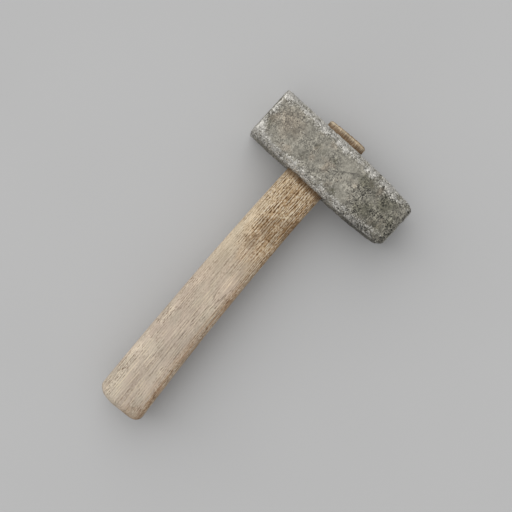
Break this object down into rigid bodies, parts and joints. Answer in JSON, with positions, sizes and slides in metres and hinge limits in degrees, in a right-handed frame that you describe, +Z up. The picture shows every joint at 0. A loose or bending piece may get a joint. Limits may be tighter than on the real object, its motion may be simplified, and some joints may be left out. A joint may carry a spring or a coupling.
{
  "type": "hammer",
  "caption": "Short-handled double-faced hand sledge: pitted forged steel head with a tapered narrow end on a bowed, weathered wooden handle, wedged in the eye.",
  "frame": {"origin": "on the resting side of the head, straight below the middle of the eye", "axes": "+X from the eye along the handle to the butt, +Y along the head from the eye to its narrow face, +Z up from the resting side of the head"},
  "size_m": [0.272, 0.13, 0.0435],
  "materials": {
    "head_steel": "matte",
    "handle_wood": "matte",
    "wedge_wood": "matte",
    "wedge_steel": "matte"
  },
  "bodies": {
    "root": {"head": "head_steel", "handle": "handle_wood", "wooden_wedge": "wedge_wood", "steel_wedge_broad_side": "wedge_steel", "steel_wedge_narrow_side": "wedge_steel"}
  },
  "joints": []
}
